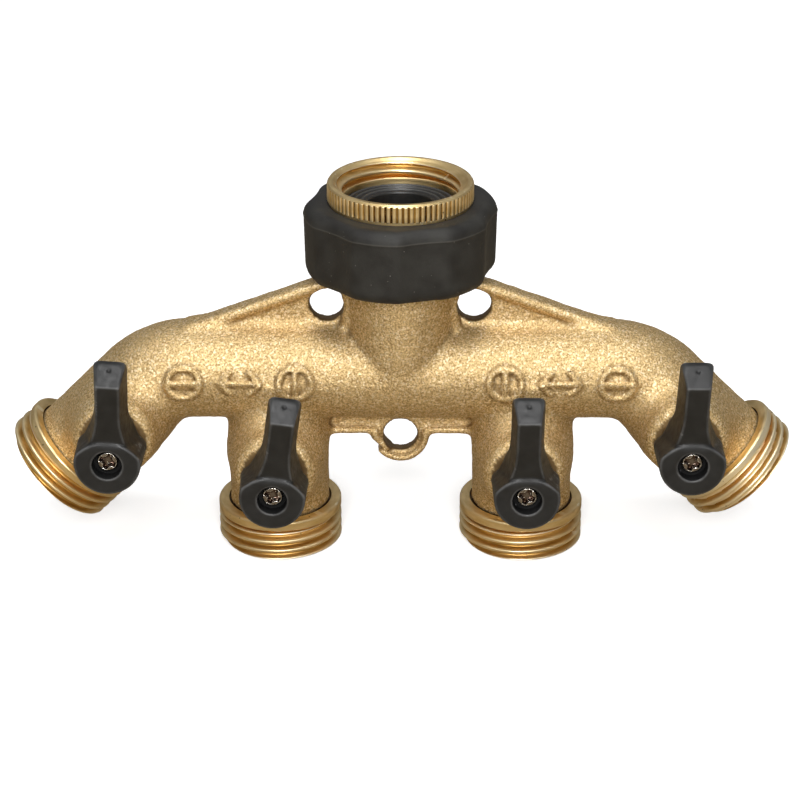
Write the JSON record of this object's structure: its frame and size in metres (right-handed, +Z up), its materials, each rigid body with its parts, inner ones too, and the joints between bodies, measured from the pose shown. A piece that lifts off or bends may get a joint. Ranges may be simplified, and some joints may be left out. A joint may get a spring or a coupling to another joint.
{
  "type": "hose splitter",
  "caption": "Cast brass garden hose manifold with a swivel inlet nut in a fluted rubber grip, male threaded outlets, lever ball valves and fixing holes.",
  "frame": {"origin": "midway between the two upper fixing holes, on the inlet's axis and in the casting's mid-plane", "axes": "+Z up the inlet, +X along the cross tube, -Y towards the levers"},
  "size_m": [0.1689, 0.0514, 0.0833],
  "materials": {
    "cast_brass": "sand-cast, matt grainy golden brass",
    "turned_brass": "turned, satin to bright",
    "rubber": "matt black, slightly dusty",
    "lever_plastic": "fine matt moulded black",
    "screw_steel": "bright nickel-plated",
    "spring_steel": "plain spring steel",
    "ptfe": "white, waxy",
    "seal_rubber": "black, smooth"
  },
  "bodies": {
    "manifold": {"manifold_casting": "cast_brass", "nut_retaining_ring": "spring_steel", "outlet_fitting_outer_left": "turned_brass", "seat_upper_outer_left": "ptfe", "seat_lower_outer_left": "ptfe", "outlet_fitting_inner_left": "turned_brass", "seat_upper_inner_left": "ptfe", "seat_lower_inner_left": "ptfe", "outlet_fitting_inner_right": "turned_brass", "seat_upper_inner_right": "ptfe", "seat_lower_inner_right": "ptfe", "outlet_fitting_outer_right": "turned_brass", "seat_upper_outer_right": "ptfe", "seat_lower_outer_right": "ptfe"},
    "swivel": {"swivel_nut": "turned_brass", "nut_grip": "rubber", "inlet_washer": "seal_rubber"},
    "valve_outer_left": {"ball_outer_left": "turned_brass", "stem_outer_left": "turned_brass", "stem_washer_outer_left": "ptfe", "stem_o_rings_outer_left": "seal_rubber", "lever_outer_left": "lever_plastic", "lever_screw_outer_left": "screw_steel"},
    "valve_inner_left": {"ball_inner_left": "turned_brass", "stem_inner_left": "turned_brass", "stem_washer_inner_left": "ptfe", "stem_o_rings_inner_left": "seal_rubber", "lever_inner_left": "lever_plastic", "lever_screw_inner_left": "screw_steel"},
    "valve_inner_right": {"ball_inner_right": "turned_brass", "stem_inner_right": "turned_brass", "stem_washer_inner_right": "ptfe", "stem_o_rings_inner_right": "seal_rubber", "lever_inner_right": "lever_plastic", "lever_screw_inner_right": "screw_steel"},
    "valve_outer_right": {"ball_outer_right": "turned_brass", "stem_outer_right": "turned_brass", "stem_washer_outer_right": "ptfe", "stem_o_rings_outer_right": "seal_rubber", "lever_outer_right": "lever_plastic", "lever_screw_outer_right": "screw_steel"}
  },
  "joints": [
    {"name": "nut_turn", "type": "hinge", "parent": "manifold", "child": "swivel", "pos_m": [0, 0, 0.021], "axis": [0, 0, 1], "continuous": true},
    {"name": "lever_turn_outer_left", "type": "hinge", "parent": "manifold", "child": "valve_outer_left", "pos_m": [-0.0607, 0, -0.02505], "axis": [0, -1, 0], "range_deg": [-4, 94]},
    {"name": "lever_turn_inner_left", "type": "hinge", "parent": "manifold", "child": "valve_inner_left", "pos_m": [-0.0266, 0, -0.0331], "axis": [0, -1, 0], "range_deg": [0, 98]},
    {"name": "lever_turn_inner_right", "type": "hinge", "parent": "manifold", "child": "valve_inner_right", "pos_m": [0.0266, 0, -0.0331], "axis": [0, 1, 0], "range_deg": [-8, 90]},
    {"name": "lever_turn_outer_right", "type": "hinge", "parent": "manifold", "child": "valve_outer_right", "pos_m": [0.0607, 0, -0.02505], "axis": [0, 1, 0], "range_deg": [-8, 90]}
  ]
}
